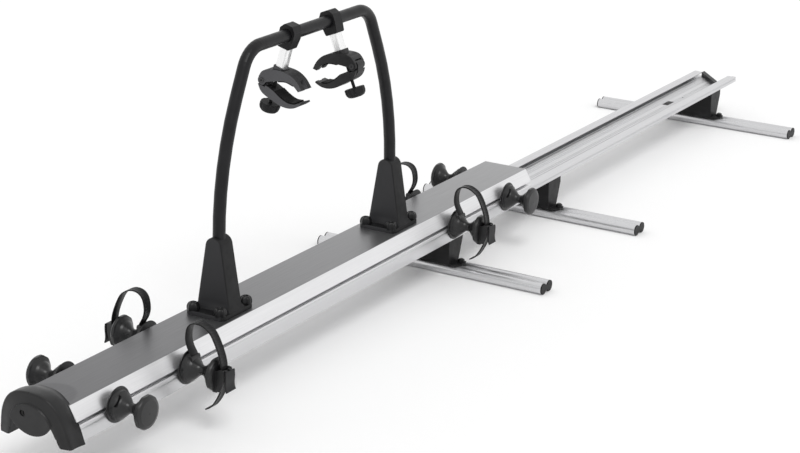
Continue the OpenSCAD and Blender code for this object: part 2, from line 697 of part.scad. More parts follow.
lock_y = 16;
lock_z = cap_bottom + cap_h * 0.62;
module lock() color("gray") placed() translate([0, lock_y, lock_z]) difference() {
    rod_x(cap_front + 8, 26, lock_r);
    translate([cap_front + 8 - over, -1.2, -4]) cube([5, 2.4, 8]);
}

// Hoop

hoop_foot_z = beam_top + foot_h;
leg_top_z = hoop_foot_z + leg_bend_r * sin(leg_bend_a);
leg_in = leg_bend_r * (1 - cos(leg_bend_a));
corner_start_z = crossbar_z - corner_r * (1 - sin(leg_bend_a));
straight_l = (corner_start_z - leg_top_z) / cos(leg_bend_a);
corner_in = leg_in + straight_l * sin(leg_bend_a);
crossbar_half = hoop_w / 2 - corner_in - corner_r * cos(leg_bend_a);
socket_l = foot_h - 28;
hoop_sides = 24;
// Centre line of one half in X and Z from the leg's foot to the crossbar, with the hoop's middle at x = 0
hoop_half_line = concat(
    [[-hoop_w / 2, hoop_foot_z - socket_l]],
    [for (i = [0:6]) let (a = leg_bend_a * i / 6)
        [-hoop_w / 2 + leg_bend_r * (1 - cos(a)), hoop_foot_z + leg_bend_r * sin(a)]],
    [for (i = [0:8]) let (a = leg_bend_a + (90 - leg_bend_a) * i / 8)
        [-crossbar_half - corner_r * cos(a), crossbar_z - corner_r * (1 - sin(a))]]
);
hoop_line = concat(hoop_half_line, reversed([for (p = hoop_half_line) [-p[0], p[1]]]));
// Ring of points round the centre line's point i
function hoop_ring(i, r) =
    let (
        last = len(hoop_line) - 1,
        back = i == 0 ? [0, 1] : unit(hoop_line[i] - hoop_line[i - 1]),
        ahead = i == last ? [0, -1] : unit(hoop_line[i + 1] - hoop_line[i]),
        t = unit(back + ahead),
        stretch = 1 / (t * ahead)
    )
    [for (k = [0:hoop_sides - 1]) let (a = 360 * k / hoop_sides)
        [hoop_line[i][0] - t[1] * r * cos(a) * stretch, r * sin(a), hoop_line[i][1] + t[0] * r * cos(a) * stretch]];
module hoop() color("dimgray") placed() translate([(leg_x[0] + leg_x[1]) / 2, 0, 0]) {
    rings = len(hoop_line);
    inner = rings * hoop_sides;
    next = [for (k = [0:hoop_sides - 1]) (k + 1) % hoop_sides];
    polyhedron(
        points = concat(
            [for (i = [0:rings - 1]) each hoop_ring(i, hoop_d / 2)],
            [for (i = [0:rings - 1]) each hoop_ring(i, hoop_d / 2 - hoop_wall)]
        ),
        faces = concat(
            [for (i = [0:rings - 2], k = [0:hoop_sides - 1])
                [i * hoop_sides + k, i * hoop_sides + next[k], (i + 1) * hoop_sides + next[k], (i + 1) * hoop_sides + k]],
            [for (i = [0:rings - 2], k = [0:hoop_sides - 1])
                [inner + i * hoop_sides + k, inner + (i + 1) * hoop_sides + k,
                 inner + (i + 1) * hoop_sides + next[k], inner + i * hoop_sides + next[k]]],
            [for (k = [0:hoop_sides - 1]) [k, inner + k, inner + next[k], next[k]]],
            [for (k = [0:hoop_sides - 1]) let (b = (rings - 1) * hoop_sides)
                [b + k, b + next[k], inner + b + next[k], inner + b + k]]
        )
    );
}

// Feet

foot_bolt_x = foot_l / 2 - 13;
foot_bolt_y = foot_w / 2 - 16;
foot_base_l = foot_l - 74;
module foot_body() {
    difference() {
        union() {
            translate([0, 0, beam_top]) linear_extrude(foot_t)
                polygon(rounded(box_points(foot_l, foot_w), [12, 12, 12, 12]));
            hull() {
                translate([0, 0, beam_top + foot_t - 0.5]) linear_extrude(1)
                    polygon(rounded(box_points(foot_base_l, foot_w - 16), [12, 12, 12, 12]));
                translate([0, 0, beam_top + foot_h - foot_top_w / 2])
                    rod_x(-foot_top_l / 2, foot_top_l, foot_top_w / 2, $fn = 32);
            }
        }
        translate([0, 0, hoop_foot_z - socket_l]) cylinder(h = foot_h, r = hoop_d / 2 + fit);
        for (dx = [-1, 1], dy = [-1, 1]) translate([dx * foot_bolt_x, dy * foot_bolt_y, beam_top - over])
            cylinder(h = foot_t + 2 * over, r = 4 + fit);
    }
}
module feet() color("black") placed() for (x = leg_x) translate([x, 0, 0]) foot_body();
module foot_bolts() color("black") placed() for (x = leg_x, dx = [-1, 1], dy = [-1, 1])
    translate([x + dx * foot_bolt_x, dy * foot_bolt_y, beam_top + foot_t]) {
        rotate_extrude() polygon([
            [0, 0], [foot_bolt_d / 2, 0], [foot_bolt_d / 2, foot_bolt_h * 0.4], [foot_bolt_d / 2 - 2, foot_bolt_h * 0.75],
            [foot_bolt_d / 2 - 5, foot_bolt_h * 0.95], [foot_bolt_d / 2 - 8, foot_bolt_h], [0, foot_bolt_h]
        ]);
        translate([0, 0, -foot_t - 9]) cylinder(h = foot_t + 9, r = 4);
    }

// Clamps, drawn under the crossbar with the arm upright and the mouth towards -Y

hinge = [32, -129];
// Places a clamp piece: the second clamp is turned to face the other way
module clamp_place(i) {
    translate([clamp_x[i], 0, crossbar_z]) mirror([0, i, 0])
        rotate([i == 0 ? clamp_1_swing : clamp_2_swing, 0, 0]) children();
}
function jaw_lift(i) = i == 0 ? 0 : clamp_2_lift;
module jaw_place(i) { clamp_place(i) translate([0, 0, jaw_lift(i)]) children(); }
// Extrudes a clamp side view of a given width about the clamp's middle
module jaw_slab(width, offset = 0) { along_x(offset - width / 2, width) children(); }
collar_half = [[11, 25.5], [21, 13], [21, -7], [16.5, -33]];
module collar(i) color("black") placed() clamp_place(i) difference() {
    jaw_slab(collar_l) polygon(rounded(mirrored(collar_half), [5, 5, 5, 4, 4, 5, 5, 5]));
    rod_x(-collar_l, 2 * collar_l, hoop_d / 2 + gap);
    translate([0, 0, -36]) linear_extrude(arm_socket_h + 3) arm_section(fit);
}
// Depth of the arm in the collar and the arm's top under the crossbar's middle
arm_socket_h = 7;
arm_top = 26.2;
module arm_section(grow) { polygon(rounded(box_points(arm_x + 2 * grow, arm_y + 2 * grow), [7, 7, 7, 7])); }
module arm(i) color("white") placed() clamp_place(i)
    translate([0, 0, -arm_l + jaw_lift(i)]) linear_extrude(arm_l - jaw_lift(i) - arm_top) difference() {
    arm_section(0);
    polygon(rounded(box_points(arm_x - 4, arm_y - 4), [5, 5, 5, 5]));
}
// Upper jaw: back at the hinge, tip towards -Y
upper_outer = spline([[43, -124], [37, -107], [21, -96], [-6, -87], [-36, -85], [-60, -93], [-79, -108]], 5);
upper_inner = spline([[-70, -115], [-52, -106], [-30, -105.5], [-8, -114], [10, -123], [21, -129]], 5);
module upper_jaw(i) color("dimgray") placed() jaw_place(i) difference() {
    union() {
        jaw_slab(jaw_w) polygon(concat(upper_outer, upper_inner));
        translate([0, hinge[0], hinge[1]]) rod_x(-jaw_w / 2, jaw_w, 11);
        translate([0, 0, -arm_l]) linear_extrude(16) polygon(rounded(box_points(arm_x + 8, arm_y + 8), [9, 9, 9, 9]));
    }
    // Gap between the ears for the lower jaw's knuckle and the screw
    translate([-jaw_gap / 2, hinge[0] - 12.5, hinge[1] - 20]) cube([jaw_gap, 40, 33]);
    translate([0, hinge[0], hinge[1]]) rod_x(-jaw_gap / 2, jaw_gap, 13.5);
    translate([-9, -8, -160]) cube([18, 32, 50]);
    translate([0, hinge[0], hinge[1]]) rod_x(-jaw_w, 2 * jaw_w, jaw_pin_r + 0.05);
    translate([0, 0, -arm_l]) linear_extrude(40) arm_section(fit);
    // Notch between the two prongs of the tip
    translate([-notch_w / 2, -90, -130]) cube([notch_w, 30, 40]);
}
notch_w = 14;
pad_upper_line = spline([[-52, -106], [-30, -105.5], [-9.5, -113.4]], 6);
module upper_pad(i) color("black") placed() jaw_place(i)
    jaw_slab(jaw_w - 4) polygon(concat(beside(pad_upper_line, -0.15), reversed(beside(pad_upper_line, -pad_t))));
module jaw_pin(i) color("silver") placed() jaw_place(i) translate([0, hinge[0], hinge[1]]) difference() {
    union() {
        rod_x(-jaw_w / 2 - 1.5, jaw_w + 3, jaw_pin_r);
        for (side = [-1, 1]) rod_x(side * (jaw_w / 2 + 0.75) - 0.75, 1.5, 6.5);
    }
    rod_x(-jaw_w / 2 - 2, 2.4, 2.6, $fn = 6);
}
lower_outer = spline([
    [40, -141], [30, -153], [16, -160], [-10, -164.5], [-34, -167.5], [-56, -164], [-73, -155], [-85, -142]
], 5);
lower_inner = spline([
    [-82, -139], [-69, -147.5], [-55, -152], [-42, -152], [-26, -148.5], [-8, -142], [6, -138.5], [16, -137]
], 5);
module lower_jaw(i) color("dimgray") placed() jaw_place(i) difference() {
    union() {
        difference() {
            jaw_slab(jaw_w) polygon(concat(lower_outer, lower_inner));
            for (side = [-1, 1])
                translate([side * (jaw_w / 2 + jaw_gap / 2 + 0.3) - jaw_w / 2, hinge[0] - 12, hinge[1] - 12])
                    cube([jaw_w, 40, 24]);
        }
        translate([0, hinge[0], hinge[1]]) rod_x(-jaw_gap / 2 + gap, jaw_gap - 2 * gap, 13);
        along_x(-jaw_gap / 2 + gap, jaw_gap - 2 * gap) polygon([
            [hinge[0] - 12, hinge[1] - 3], [hinge[0] + 12.6, hinge[1] - 3],
            [39, -146], [30, -154], [14, -158], [16, -139]
        ]);
    }
    translate([0, hinge[0], hinge[1]]) rod_x(-jaw_w, 2 * jaw_w, jaw_pin_r + 0.1);
    translate([0, screw_y, -200]) cylinder(h = 100, r = screw_r + gap);
    translate([-notch_w / 2, -110, -160]) cube([notch_w, 30, 40]);
    for (side = [-1, 1]) translate([0, hinge[0], hinge[1]]) rod_x(side > 0 ? jaw_gap / 2 - gap : -jaw_w, jaw_w, 11.4);
}
screw_y = 6;
pad_lower_line = spline([[-69, -147.5], [-55, -152], [-42, -152], [-26, -148.5], [-8, -142]], 5);
module lower_pad(i) color("black") placed() jaw_place(i)
    jaw_slab(jaw_w - 4) polygon(concat(beside(pad_lower_line, 0.15), reversed(beside(pad_lower_line, pad_t))));
module knob(i) color("black") placed() jaw_place(i) translate([0, screw_y, 0]) {
    difference() {
        translate([0, 0, knob_top - knob_h]) rotate_extrude() polygon([
            [0, 0], [knob_r * 0.5, 0.6], [knob_r * 0.78, 3], [knob_r * 0.94, 8], [knob_r, 13],
            [knob_r, knob_h - 2], [knob_r - 2, knob_h], [9, knob_h], [0, knob_h]
        ]);
        for (a = [0:45:315]) rotate([0, 0, a + 22.5]) translate([knob_r + 5, 0, knob_top - knob_h - over])
            cylinder(h = knob_h + 2 * over, r = 8, $fn = 32);
    }
    translate([0, 0, knob_top]) cylinder(h = screw_end - knob_top, r = screw_r);
}
knob_top = -180;
screw_end = -124;

// Spools

spool_face = skirt_y + gap;
outer_face = spool_face + spool_l;
function spool_x(i) = spool_list[i][0];
// Places a spool piece drawn for the +Y side
module spool_place(i) { translate([spool_x(i), 0, slot_z]) mirror([0, spool_list[i][1] < 0 ? 1 : 0, 0]) children(); }
spool_bore_r = spool_bolt_r + 0.15;
// Hollow curve between the rims, as an arc of a cosine
function waist(t) = spool_neck_r + (28 - spool_neck_r) * pow(abs(cos(180 * t)), 2.2);
spool_profile = concat(
    [[spool_bore_r, slope_y + gap + 1.2], [8, slope_y + gap + 1.2], [8, spool_face],
     [spool_inner_r - 1, spool_face], [spool_inner_r, spool_face + 1],
     [spool_inner_r - 1, spool_face + 2.6], [spool_inner_r - 6, spool_face + 3.4],
     [spool_inner_r - 7, spool_face + 8], [spool_inner_r - 7.5, spool_face + 11.5], [spool_inner_r - 9, spool_face + 12.6]],
    [for (i = [1:11]) [waist(i / 12), spool_face + 12.6 + (spool_l - 12.6 - 15) * i / 12]],
    [[spool_outer_r - 4, outer_face - 14], [spool_outer_r, outer_face - 12], [spool_outer_r, outer_face - 7],
     [spool_outer_r - 3, outer_face - 3], [spool_outer_r - 10, outer_face - 0.8], [0, outer_face],
     [0, outer_face - 16], [spool_bore_r, outer_face - 16]]
);
module spool(i) color("black") placed() spool_place(i) {
    difference() {
        rotate([-90, 0, 0]) rotate_extrude() polygon([for (p = spool_profile) [p[0], p[1]]]);
        // Flats round the outer flange
        translate([0, outer_face - 20, 0]) rotate([-90, 0, 0]) difference() {
            cylinder(h = 22, r = spool_outer_r + 8);
            translate([0, 0, -over]) cylinder(h = 24, r = spool_outer_r + 0.6, $fn = 10);
        }
        if (spool_list[i][2]) translate([-strap_w / 2 - 0.5, anchor_y - 0.7, 20]) cube([strap_w + 1, strap_t + 1.4, 60]);
        // Slot for a strap in the inner flange of a spool that carries none
        if (!spool_list[i][2]) rotate([0, flange_slot_turn, 0]) translate([-flange_slot_l / 2, spool_face - over, 23])
            cube([flange_slot_l, 20, 4.5]);
    }
    if (spool_list[i][2]) {
        anchor();
        buckle();
    }
}
flange_slot_l = 27;
flange_slot_turn = -48;
// Lug on the spool's rim that holds the strap's foot
anchor_y = spool_face + 14.5;
module anchor() {
    difference() {
        along_x(-strap_w / 2 - 3, strap_w + 6) polygon([
            [spool_face + 8, 14], [anchor_y + 7, 14], [anchor_y + 7, 26], [anchor_y + 5, 31], [spool_face + 8, 31]
        ]);
        translate([-strap_w / 2 - 0.2, anchor_y - 0.7, 20]) cube([strap_w + 0.4, strap_t + 1.4, 20]);
    }
}
buckle_in = outer_face - 11;
buckle_out = outer_face + 10;
buckle_pin = [outer_face + 18.5, 13];
module buckle() {
    along_x(-strap_w / 2 - 1, strap_w + 2) polygon(rounded([
        [buckle_in, -38], [buckle_out - 9, -38], [buckle_out, -18], [buckle_out, 9], [buckle_in, 9]
    ], [3, 3, 3, 1, 3]));
    for (side = [-1, 1]) along_x(side * (strap_w / 2 + 0.6 + cheek_t / 2) - cheek_t / 2, cheek_t) polygon(rounded([
        [buckle_in, -34], [buckle_out + 2, -34], [buckle_pin[0] + 3, -10], [buckle_pin[0] + 4.5, 10],
        [buckle_pin[0] + 2, 18], [buckle_pin[0] - 6, 19], [buckle_in, 8]
    ], [3, 4, 6, 4, 3, 4, 3]));
    translate([0, buckle_pin[0], buckle_pin[1]]) rod_x(-strap_w / 2 - 2, strap_w + 4, 2);
}
module spool_bolt(i) color("silver") placed() spool_place(i) {
    translate([-nut_l / 2, chamber_in + 0.5, -slot_chamber_h / 2 + gap])
        cube([nut_l, slot_chamber_d - 0.5 - gap, slot_chamber_h - 2 * gap]);
    rod_y(chamber_in + 1, outer_face - 16.5 - chamber_in - 1, spool_bolt_r);
}
// Strap: loop over the wheel's rim and tail below the buckle, drawn in Y and Z from the spool's axis
strap_y = buckle_out + strap_t / 2 + 0.15;
strap_path = spline([
    [anchor_y + strap_t / 2, 21], [anchor_y + strap_t / 2, 32], [spool_face + 6, 50], [spool_face + 1.5, 70],
    [spool_face + 6, strap_rise - 14], [spool_face + 20, strap_rise - 1], [spool_face + 42, strap_rise],
    [spool_face + 64, strap_rise - 12], [strap_y - 19, strap_rise - 30], [strap_y - 7, 52], [strap_y - 1, 30], [strap_y, 10],
    [strap_y, -24], [strap_y - 6, -42], [strap_y - 17, -62], [strap_y - 29, -77], [strap_y - 44, -86]
], 4);
module strap(i) color("black") placed() spool_place(strap_spool[i])
    along_x(-strap_w / 2, strap_w) polygon(band(strap_path, strap_t));
strap_spool = [for (i = [0:7]) if (spool_list[i][2]) i];
lever_path = spline([
    buckle_pin + [7.5, 2], buckle_pin + [8.5, -6], buckle_pin + [8.5, -14],
    buckle_pin + [7.5, -28], buckle_pin + [8.5, -38], buckle_pin + [11, -45]
], 4);
module lever(i) color("dimgray") placed() spool_place(strap_spool[i]) {
    along_x(-lever_w / 2, lever_w) polygon(band(lever_path, 3));
    difference() {
        along_x(-strap_w / 2 + 1, strap_w - 2) difference() {
            union() {
                translate(buckle_pin) circle(r = 4.2);
                polygon([buckle_pin + [0, 4.2], buckle_pin + [8, 2], buckle_pin + [8.5, -8], buckle_pin + [0, -4.2]]);
            }
            translate(buckle_pin) circle(r = 2.25);
        }
        translate([-4, 0, 0]) cube([8, 400, 200], center = false);
    }
}

cross_bars();
bar_plugs();
brackets();
bracket_bolts();
rail();
end_stop();
catch_frame();
catch();
roller_bracket();
roller_pin();
front_rollers();
beam();
cap();
lock();
carriage();
rear_rollers();
feet();
foot_bolts();
hoop();
collar(0);  // collar_1
arm(0);  // arm_1
upper_jaw(0);  // upper_jaw_1
upper_pad(0);  // upper_pad_1
jaw_pin(0);  // jaw_pin_1
lower_jaw(0);  // lower_jaw_1
lower_pad(0);  // lower_pad_1
knob(0);  // knob_1
collar(1);  // collar_2
arm(1);  // arm_2
upper_jaw(1);  // upper_jaw_2
upper_pad(1);  // upper_pad_2
jaw_pin(1);  // jaw_pin_2
lower_jaw(1);  // lower_jaw_2
lower_pad(1);  // lower_pad_2
knob(1);  // knob_2
spool(0);  // spool_1
spool(1);  // spool_2
spool(2);  // spool_3
spool(3);  // spool_4
spool(4);  // spool_5
spool(5);  // spool_6
spool(6);  // spool_7
spool(7);  // spool_8
spool_bolt(0);  // spool_bolt_1
spool_bolt(1);  // spool_bolt_2
spool_bolt(2);  // spool_bolt_3
spool_bolt(3);  // spool_bolt_4
spool_bolt(4);  // spool_bolt_5
spool_bolt(5);  // spool_bolt_6
spool_bolt(6);  // spool_bolt_7
spool_bolt(7);  // spool_bolt_8
strap(0);  // strap_1
strap(1);  // strap_2
strap(2);  // strap_3
strap(3);  // strap_4
lever(0);  // lever_1
lever(1);  // lever_2
lever(2);  // lever_3
lever(3);  // lever_4
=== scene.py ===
"""Looks of the slide-out bike carrier: materials, moulded details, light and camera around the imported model."""
import json
import math
import bpy
import bmesh
from mathutils import Matrix, Vector
from mathutils.geometry import delaunay_2d_cdt

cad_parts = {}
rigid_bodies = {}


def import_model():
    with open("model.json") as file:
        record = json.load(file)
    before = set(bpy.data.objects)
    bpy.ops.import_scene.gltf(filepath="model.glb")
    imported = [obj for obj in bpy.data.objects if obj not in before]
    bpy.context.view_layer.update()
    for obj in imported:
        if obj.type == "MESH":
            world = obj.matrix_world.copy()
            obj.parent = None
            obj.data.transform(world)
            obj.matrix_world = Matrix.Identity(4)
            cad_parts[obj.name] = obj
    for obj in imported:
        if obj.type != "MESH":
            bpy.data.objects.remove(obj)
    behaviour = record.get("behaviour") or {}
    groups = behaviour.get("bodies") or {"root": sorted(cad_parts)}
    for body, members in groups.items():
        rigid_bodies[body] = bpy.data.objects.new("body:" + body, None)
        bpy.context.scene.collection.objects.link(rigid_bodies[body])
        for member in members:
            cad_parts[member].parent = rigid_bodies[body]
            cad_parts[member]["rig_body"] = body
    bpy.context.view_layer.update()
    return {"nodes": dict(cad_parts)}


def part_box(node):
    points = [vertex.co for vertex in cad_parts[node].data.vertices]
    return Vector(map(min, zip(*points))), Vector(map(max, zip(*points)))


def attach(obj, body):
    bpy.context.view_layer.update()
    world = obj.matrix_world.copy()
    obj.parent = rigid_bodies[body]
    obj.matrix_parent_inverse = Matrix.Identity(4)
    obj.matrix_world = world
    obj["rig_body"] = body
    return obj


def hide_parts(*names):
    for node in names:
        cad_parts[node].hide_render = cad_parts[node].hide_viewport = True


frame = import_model()
nodes = frame["nodes"]
MM = 0.001

# Camera at the photograph's angle, found by fitting the edges of the beam, rail and cross bars
CAMERA_AT = (-4.79288, -2.6405, 1.9139)
CAMERA_AZIMUTH = math.radians(30.548)
CAMERA_DROP = math.radians(18.596)
CAMERA_ROLL = math.radians(1.206)
FOCAL_PIXELS = 2089.15
PHOTO_WIDTH = 800
SENSOR_WIDTH = 36.0
CAMERA_FAR = 100.0

# Soft studio light: what the world gives, what the camera and mirrors see of it, and one wide sun
WORLD_LIGHT = 0.78
WORLD_SEEN = 1.0
SUN_ENERGY = 1.0
SUN_WIDTH = math.radians(24)
SUN_TURN = (math.radians(28), math.radians(-26), 0)

# Floor, in metres, a little below the cross bars so that the two share no plane
FLOOR_HALF = 30.0
FLOOR_DROP = 0.0005
FLOOR_COLOUR = (0.985, 0.985, 0.985)

# Range that most values of a noise texture stay in
NOISE_LOW = 0.3
NOISE_HIGH = 0.7

# Fine lines of extruded aluminium: how much the noise is squeezed across them and along them
LINES_ACROSS = 90.0
LINES_ALONG = 1.5

# Rounding of moulded edges in the shading, in metres
EDGE_ROUNDING = 0.0012

BLACK = (0.006, 0.006, 0.0065)


def make_camera():
    """Camera that shows the model from the photograph's place."""
    data = bpy.data.cameras.new("camera")
    data.sensor_fit = "HORIZONTAL"
    data.sensor_width = SENSOR_WIDTH
    data.lens = FOCAL_PIXELS / PHOTO_WIDTH * SENSOR_WIDTH
    data.clip_end = CAMERA_FAR
    camera = bpy.data.objects.new("camera", data)
    ahead = Vector((math.cos(CAMERA_AZIMUTH) * math.cos(CAMERA_DROP),
                    math.sin(CAMERA_AZIMUTH) * math.cos(CAMERA_DROP), -math.sin(CAMERA_DROP)))
    level = ahead.cross(Vector((0, 0, 1))).normalized()
    above = level.cross(ahead)
    c, s = math.cos(CAMERA_ROLL), math.sin(CAMERA_ROLL)
    right = c * level + s * above
    up = -s * level + c * above
    turn = Matrix((right, up, -ahead)).transposed().to_4x4()
    camera.matrix_world = Matrix.Translation(CAMERA_AT) @ turn
    bpy.context.scene.collection.objects.link(camera)
    bpy.context.scene.camera = camera


def make_light():
    """White world that lights softly and shows white to the camera and in mirrors, and one wide sun."""
    scene = bpy.context.scene
    scene.view_settings.view_transform = "Standard"
    world = bpy.data.worlds.new("studio")
    scene.world = world
    world.use_nodes = True
    tree = world.node_tree
    tree.nodes.clear()
    out = tree.nodes.new("ShaderNodeOutputWorld")
    lit = tree.nodes.new("ShaderNodeBackground")
    seen = tree.nodes.new("ShaderNodeBackground")
    for background, strength in ((lit, WORLD_LIGHT), (seen, WORLD_SEEN)):
        background.inputs["Color"].default_value = (1, 1, 1, 1)
        background.inputs["Strength"].default_value = strength
    path = tree.nodes.new("ShaderNodeLightPath")
    sight = path.outputs["Is Camera Ray"]
    for kind in ("Is Glossy Ray", "Is Transmission Ray"):
        either = tree.nodes.new("ShaderNodeMath")
        either.operation = "MAXIMUM"
        tree.links.new(sight, either.inputs[0])
        tree.links.new(path.outputs[kind], either.inputs[1])
        sight = either.outputs[0]
    mix = tree.nodes.new("ShaderNodeMixShader")
    tree.links.new(sight, mix.inputs[0])
    tree.links.new(lit.outputs[0], mix.inputs[1])
    tree.links.new(seen.outputs[0], mix.inputs[2])
    tree.links.new(mix.outputs[0], out.inputs[0])
    sun = bpy.data.lights.new("key", "SUN")
    sun.energy = SUN_ENERGY
    sun.angle = SUN_WIDTH
    lamp = bpy.data.objects.new("key", sun)
    lamp.rotation_euler = SUN_TURN
    scene.collection.objects.link(lamp)


def make_floor():
    """Plain pale floor under the cross bars."""
    mesh = bpy.data.meshes.new("floor")
    half = FLOOR_HALF
    mesh.from_pydata([(-half, -half, 0), (half, -half, 0), (half, half, 0), (-half, half, 0)], [], [(0, 1, 2, 3)])
    floor = bpy.data.objects.new("floor", mesh)
    floor.location.z = -FLOOR_DROP
    bpy.context.scene.collection.objects.link(floor)
    look = Look("floor", FLOOR_COLOUR, 0.95, specular=0.0)
    look.mottle(0.4, 0.01)
    mesh.materials.append(look.material)


class Look:
    """One procedural material: a base colour varied by noise, with roughness and bump from its nodes."""

    def __init__(self, name, colour, roughness, metallic=0.0, specular=0.5):
        self.material = bpy.data.materials.new(name)
        self.material.use_nodes = True
        self.tree = self.material.node_tree
        self.tree.nodes.clear()
        out = self.add("ShaderNodeOutputMaterial")
        self.shader = self.add("ShaderNodeBsdfPrincipled")
        self.join(self.shader.outputs[0], out.inputs[0])
        self.shader.inputs["Metallic"].default_value = metallic
        self.shader.inputs["Specular IOR Level"].default_value = specular
        self.shader.inputs["Roughness"].default_value = roughness
        self.shader.inputs["Base Color"].default_value = (*colour, 1)
        self.roughness = roughness
        self.where = self.add("ShaderNodeTexCoord").outputs["Object"]
        self.colour = None
        self.base = colour
        self.normal = None

    def add(self, kind):
        return self.tree.nodes.new(kind)

    def join(self, a, b):
        self.tree.links.new(a, b)

    def stretched(self, scale):
        """Coordinates scaled differently along each axis."""
        mapping = self.add("ShaderNodeMapping")
        mapping.inputs["Scale"].default_value = scale
        self.join(self.where, mapping.inputs["Vector"])
        return mapping.outputs[0]

    def noise(self, scale, detail=3.0, stretch=None):
        texture = self.add("ShaderNodeTexNoise")
        texture.inputs["Scale"].default_value = scale
        texture.inputs["Detail"].default_value = detail
        self.join(self.stretched(stretch) if stretch else self.where, texture.inputs["Vector"])
        return texture.outputs["Fac"]

    def between(self, value, low, high, to_low, to_high, smooth=False):
        """Maps a value from one range to another."""
        node = self.add("ShaderNodeMapRange")
        if smooth:
            node.interpolation_type = "SMOOTHSTEP"
        for name, number in (("From Min", low), ("From Max", high), ("To Min", to_low), ("To Max", to_high)):
            node.inputs[name].default_value = number
        self.join(value, node.inputs["Value"])
        return node.outputs["Result"]

    def times(self, a, b):
        """Product of a value and another value or a number."""
        node = self.add("ShaderNodeMath")
        node.operation = "MULTIPLY"
        self.join(a, node.inputs[0])
        if isinstance(b, float):
            node.inputs[1].default_value = b
        else:
            self.join(b, node.inputs[1])
        return node.outputs[0]

    def near(self, centre, reach, low, high):
        """Mask of the points inside an ellipsoid, soft at its border."""
        mapping = self.add("ShaderNodeMapping")
        mapping.inputs["Location"].default_value = tuple(-c / r for c, r in zip(centre, reach))
        mapping.inputs["Scale"].default_value = tuple(1 / r for r in reach)
        self.join(self.where, mapping.inputs["Vector"])
        length = self.add("ShaderNodeVectorMath")
        length.operation = "LENGTH"
        self.join(mapping.outputs[0], length.inputs[0])
        return self.between(length.outputs["Value"], low, high, 1.0, 0.0, smooth=True)

    def axis(self, name):
        """One coordinate of the object, in metres."""
        node = self.add("ShaderNodeSeparateXYZ")
        self.join(self.where, node.inputs[0])
        return node.outputs[name]

    def facing(self, name, low, high):
        """Mask of the surfaces that face one axis of the object, either way."""
        parts = self.add("ShaderNodeSeparateXYZ")
        self.join(self.add("ShaderNodeTexCoord").outputs["Normal"], parts.inputs[0])
        size = self.add("ShaderNodeMath")
        size.operation = "ABSOLUTE"
        self.join(parts.outputs[name], size.inputs[0])
        return self.between(size.outputs[0], low, high, 0.0, 1.0)

    def paint(self, fac, colour):
        """Lays another colour over the one so far where fac is 1."""
        node = self.add("ShaderNodeMix")
        node.data_type = "RGBA"
        self.join(fac, node.inputs["Factor"])
        if self.colour is None:
            node.inputs["A"].default_value = (*self.base, 1)
        else:
            self.join(self.colour, node.inputs["A"])
        node.inputs["B"].default_value = (*colour, 1)
        self.colour = node.outputs["Result"]
        self.join(self.colour, self.shader.inputs["Base Color"])

    def mottle(self, scale, share, stretch=None, detail=3.0):
        """Varies the base colour by a share of itself, and by a little more so that black varies too."""
        fac = self.between(self.noise(scale, detail, stretch), NOISE_LOW, NOISE_HIGH, 0.0, 1.0)
        self.paint(fac, tuple(min(c * (1 + share) + share * 0.01, 1.0) for c in self.base))

    def vary_roughness(self, scale, amount, stretch=None):
        value = self.between(self.noise(scale, stretch=stretch), NOISE_LOW, NOISE_HIGH,
                             self.roughness - amount, self.roughness + amount)
        self.join(value, self.shader.inputs["Roughness"])

    def bump(self, height, strength, distance):
        """Bump from a height, over the normal so far; the distance is in metres."""
        node = self.add("ShaderNodeBump")
        node.inputs["Strength"].default_value = strength
        node.inputs["Distance"].default_value = distance
        self.join(height, node.inputs["Height"])
        if self.normal is not None:
            self.join(self.normal, node.inputs["Normal"])
        self.normal = node.outputs[0]
        self.join(self.normal, self.shader.inputs["Normal"])

    def soft_edges(self, radius):
        """Rounds the shading of sharp edges."""
        node = self.add("ShaderNodeBevel")
        node.samples = 4
        node.inputs["Radius"].default_value = radius
        self.normal = node.outputs[0]
        self.join(self.normal, self.shader.inputs["Normal"])


def aluminium(name, colour, roughness, along=0):
    """Extruded and anodised aluminium with fine lines along one axis."""
    stretch = [LINES_ACROSS] * 3
    stretch[along] = LINES_ALONG
    look = Look(name, colour, roughness, metallic=0.9)
    look.mottle(4.0, 0.08, tuple(stretch), detail=4.0)
    look.vary_roughness(6.0, 0.06, tuple(stretch))
    look.bump(look.noise(12.0, 2.0, tuple(stretch)), 0.12, 0.0002)
    return look


def moulded(name, colour, roughness, grain=1400.0, strength=0.25, specular=0.22):
    """Moulded black plastic or powder coat with a fine grain."""
    look = Look(name, colour, roughness, specular=specular)
    look.soft_edges(EDGE_ROUNDING)
    look.mottle(35.0, 0.25)
    look.vary_roughness(60.0, 0.06)
    look.bump(look.noise(grain, 2.0), strength, 0.0001)
    return look


def beam_material():
    """Bright beam with duller skirts and a dark top. The top carries a painted reflection that is darkest by the cap
    and lighter to the rear, and a painted shadow of the cap.
    """
    low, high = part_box("beam")
    look = aluminium("beam_aluminium", (0.76, 0.76, 0.77), 0.36)
    top = look.between(look.axis("Z"), high.z - 0.0012, high.z - 0.0002, 0.0, 1.0)
    # Painted reflection: the top's dark paint is full at the front by the cap and fades lighter towards the rear
    painted_reflection_fade = look.between(look.axis("X"), low.x, high.x, 1.0, 0.72)
    skirt = look.between(look.axis("Z"), (SLOT_LEVEL - 4) * MM, (SLOT_LEVEL - 9) * MM, 0.0, 1.0)
    look.paint(skirt, (0.62, 0.62, 0.63))
    look.paint(look.times(top, painted_reflection_fade), (0.145, 0.145, 0.15))
    # Painted shadow of the cap: a soft darker patch on the beam's top just behind it
    painted_cap_shadow = look.near(place(*PAINTED_SHADOW_AT), (PAINTED_SHADOW_REACH[0] * MM, PAINTED_SHADOW_REACH[1] * MM, 1.0), 0.86, 1.0)
    look.paint(look.times(look.times(top, painted_cap_shadow), 0.35), (0.06, 0.06, 0.065))
    return look


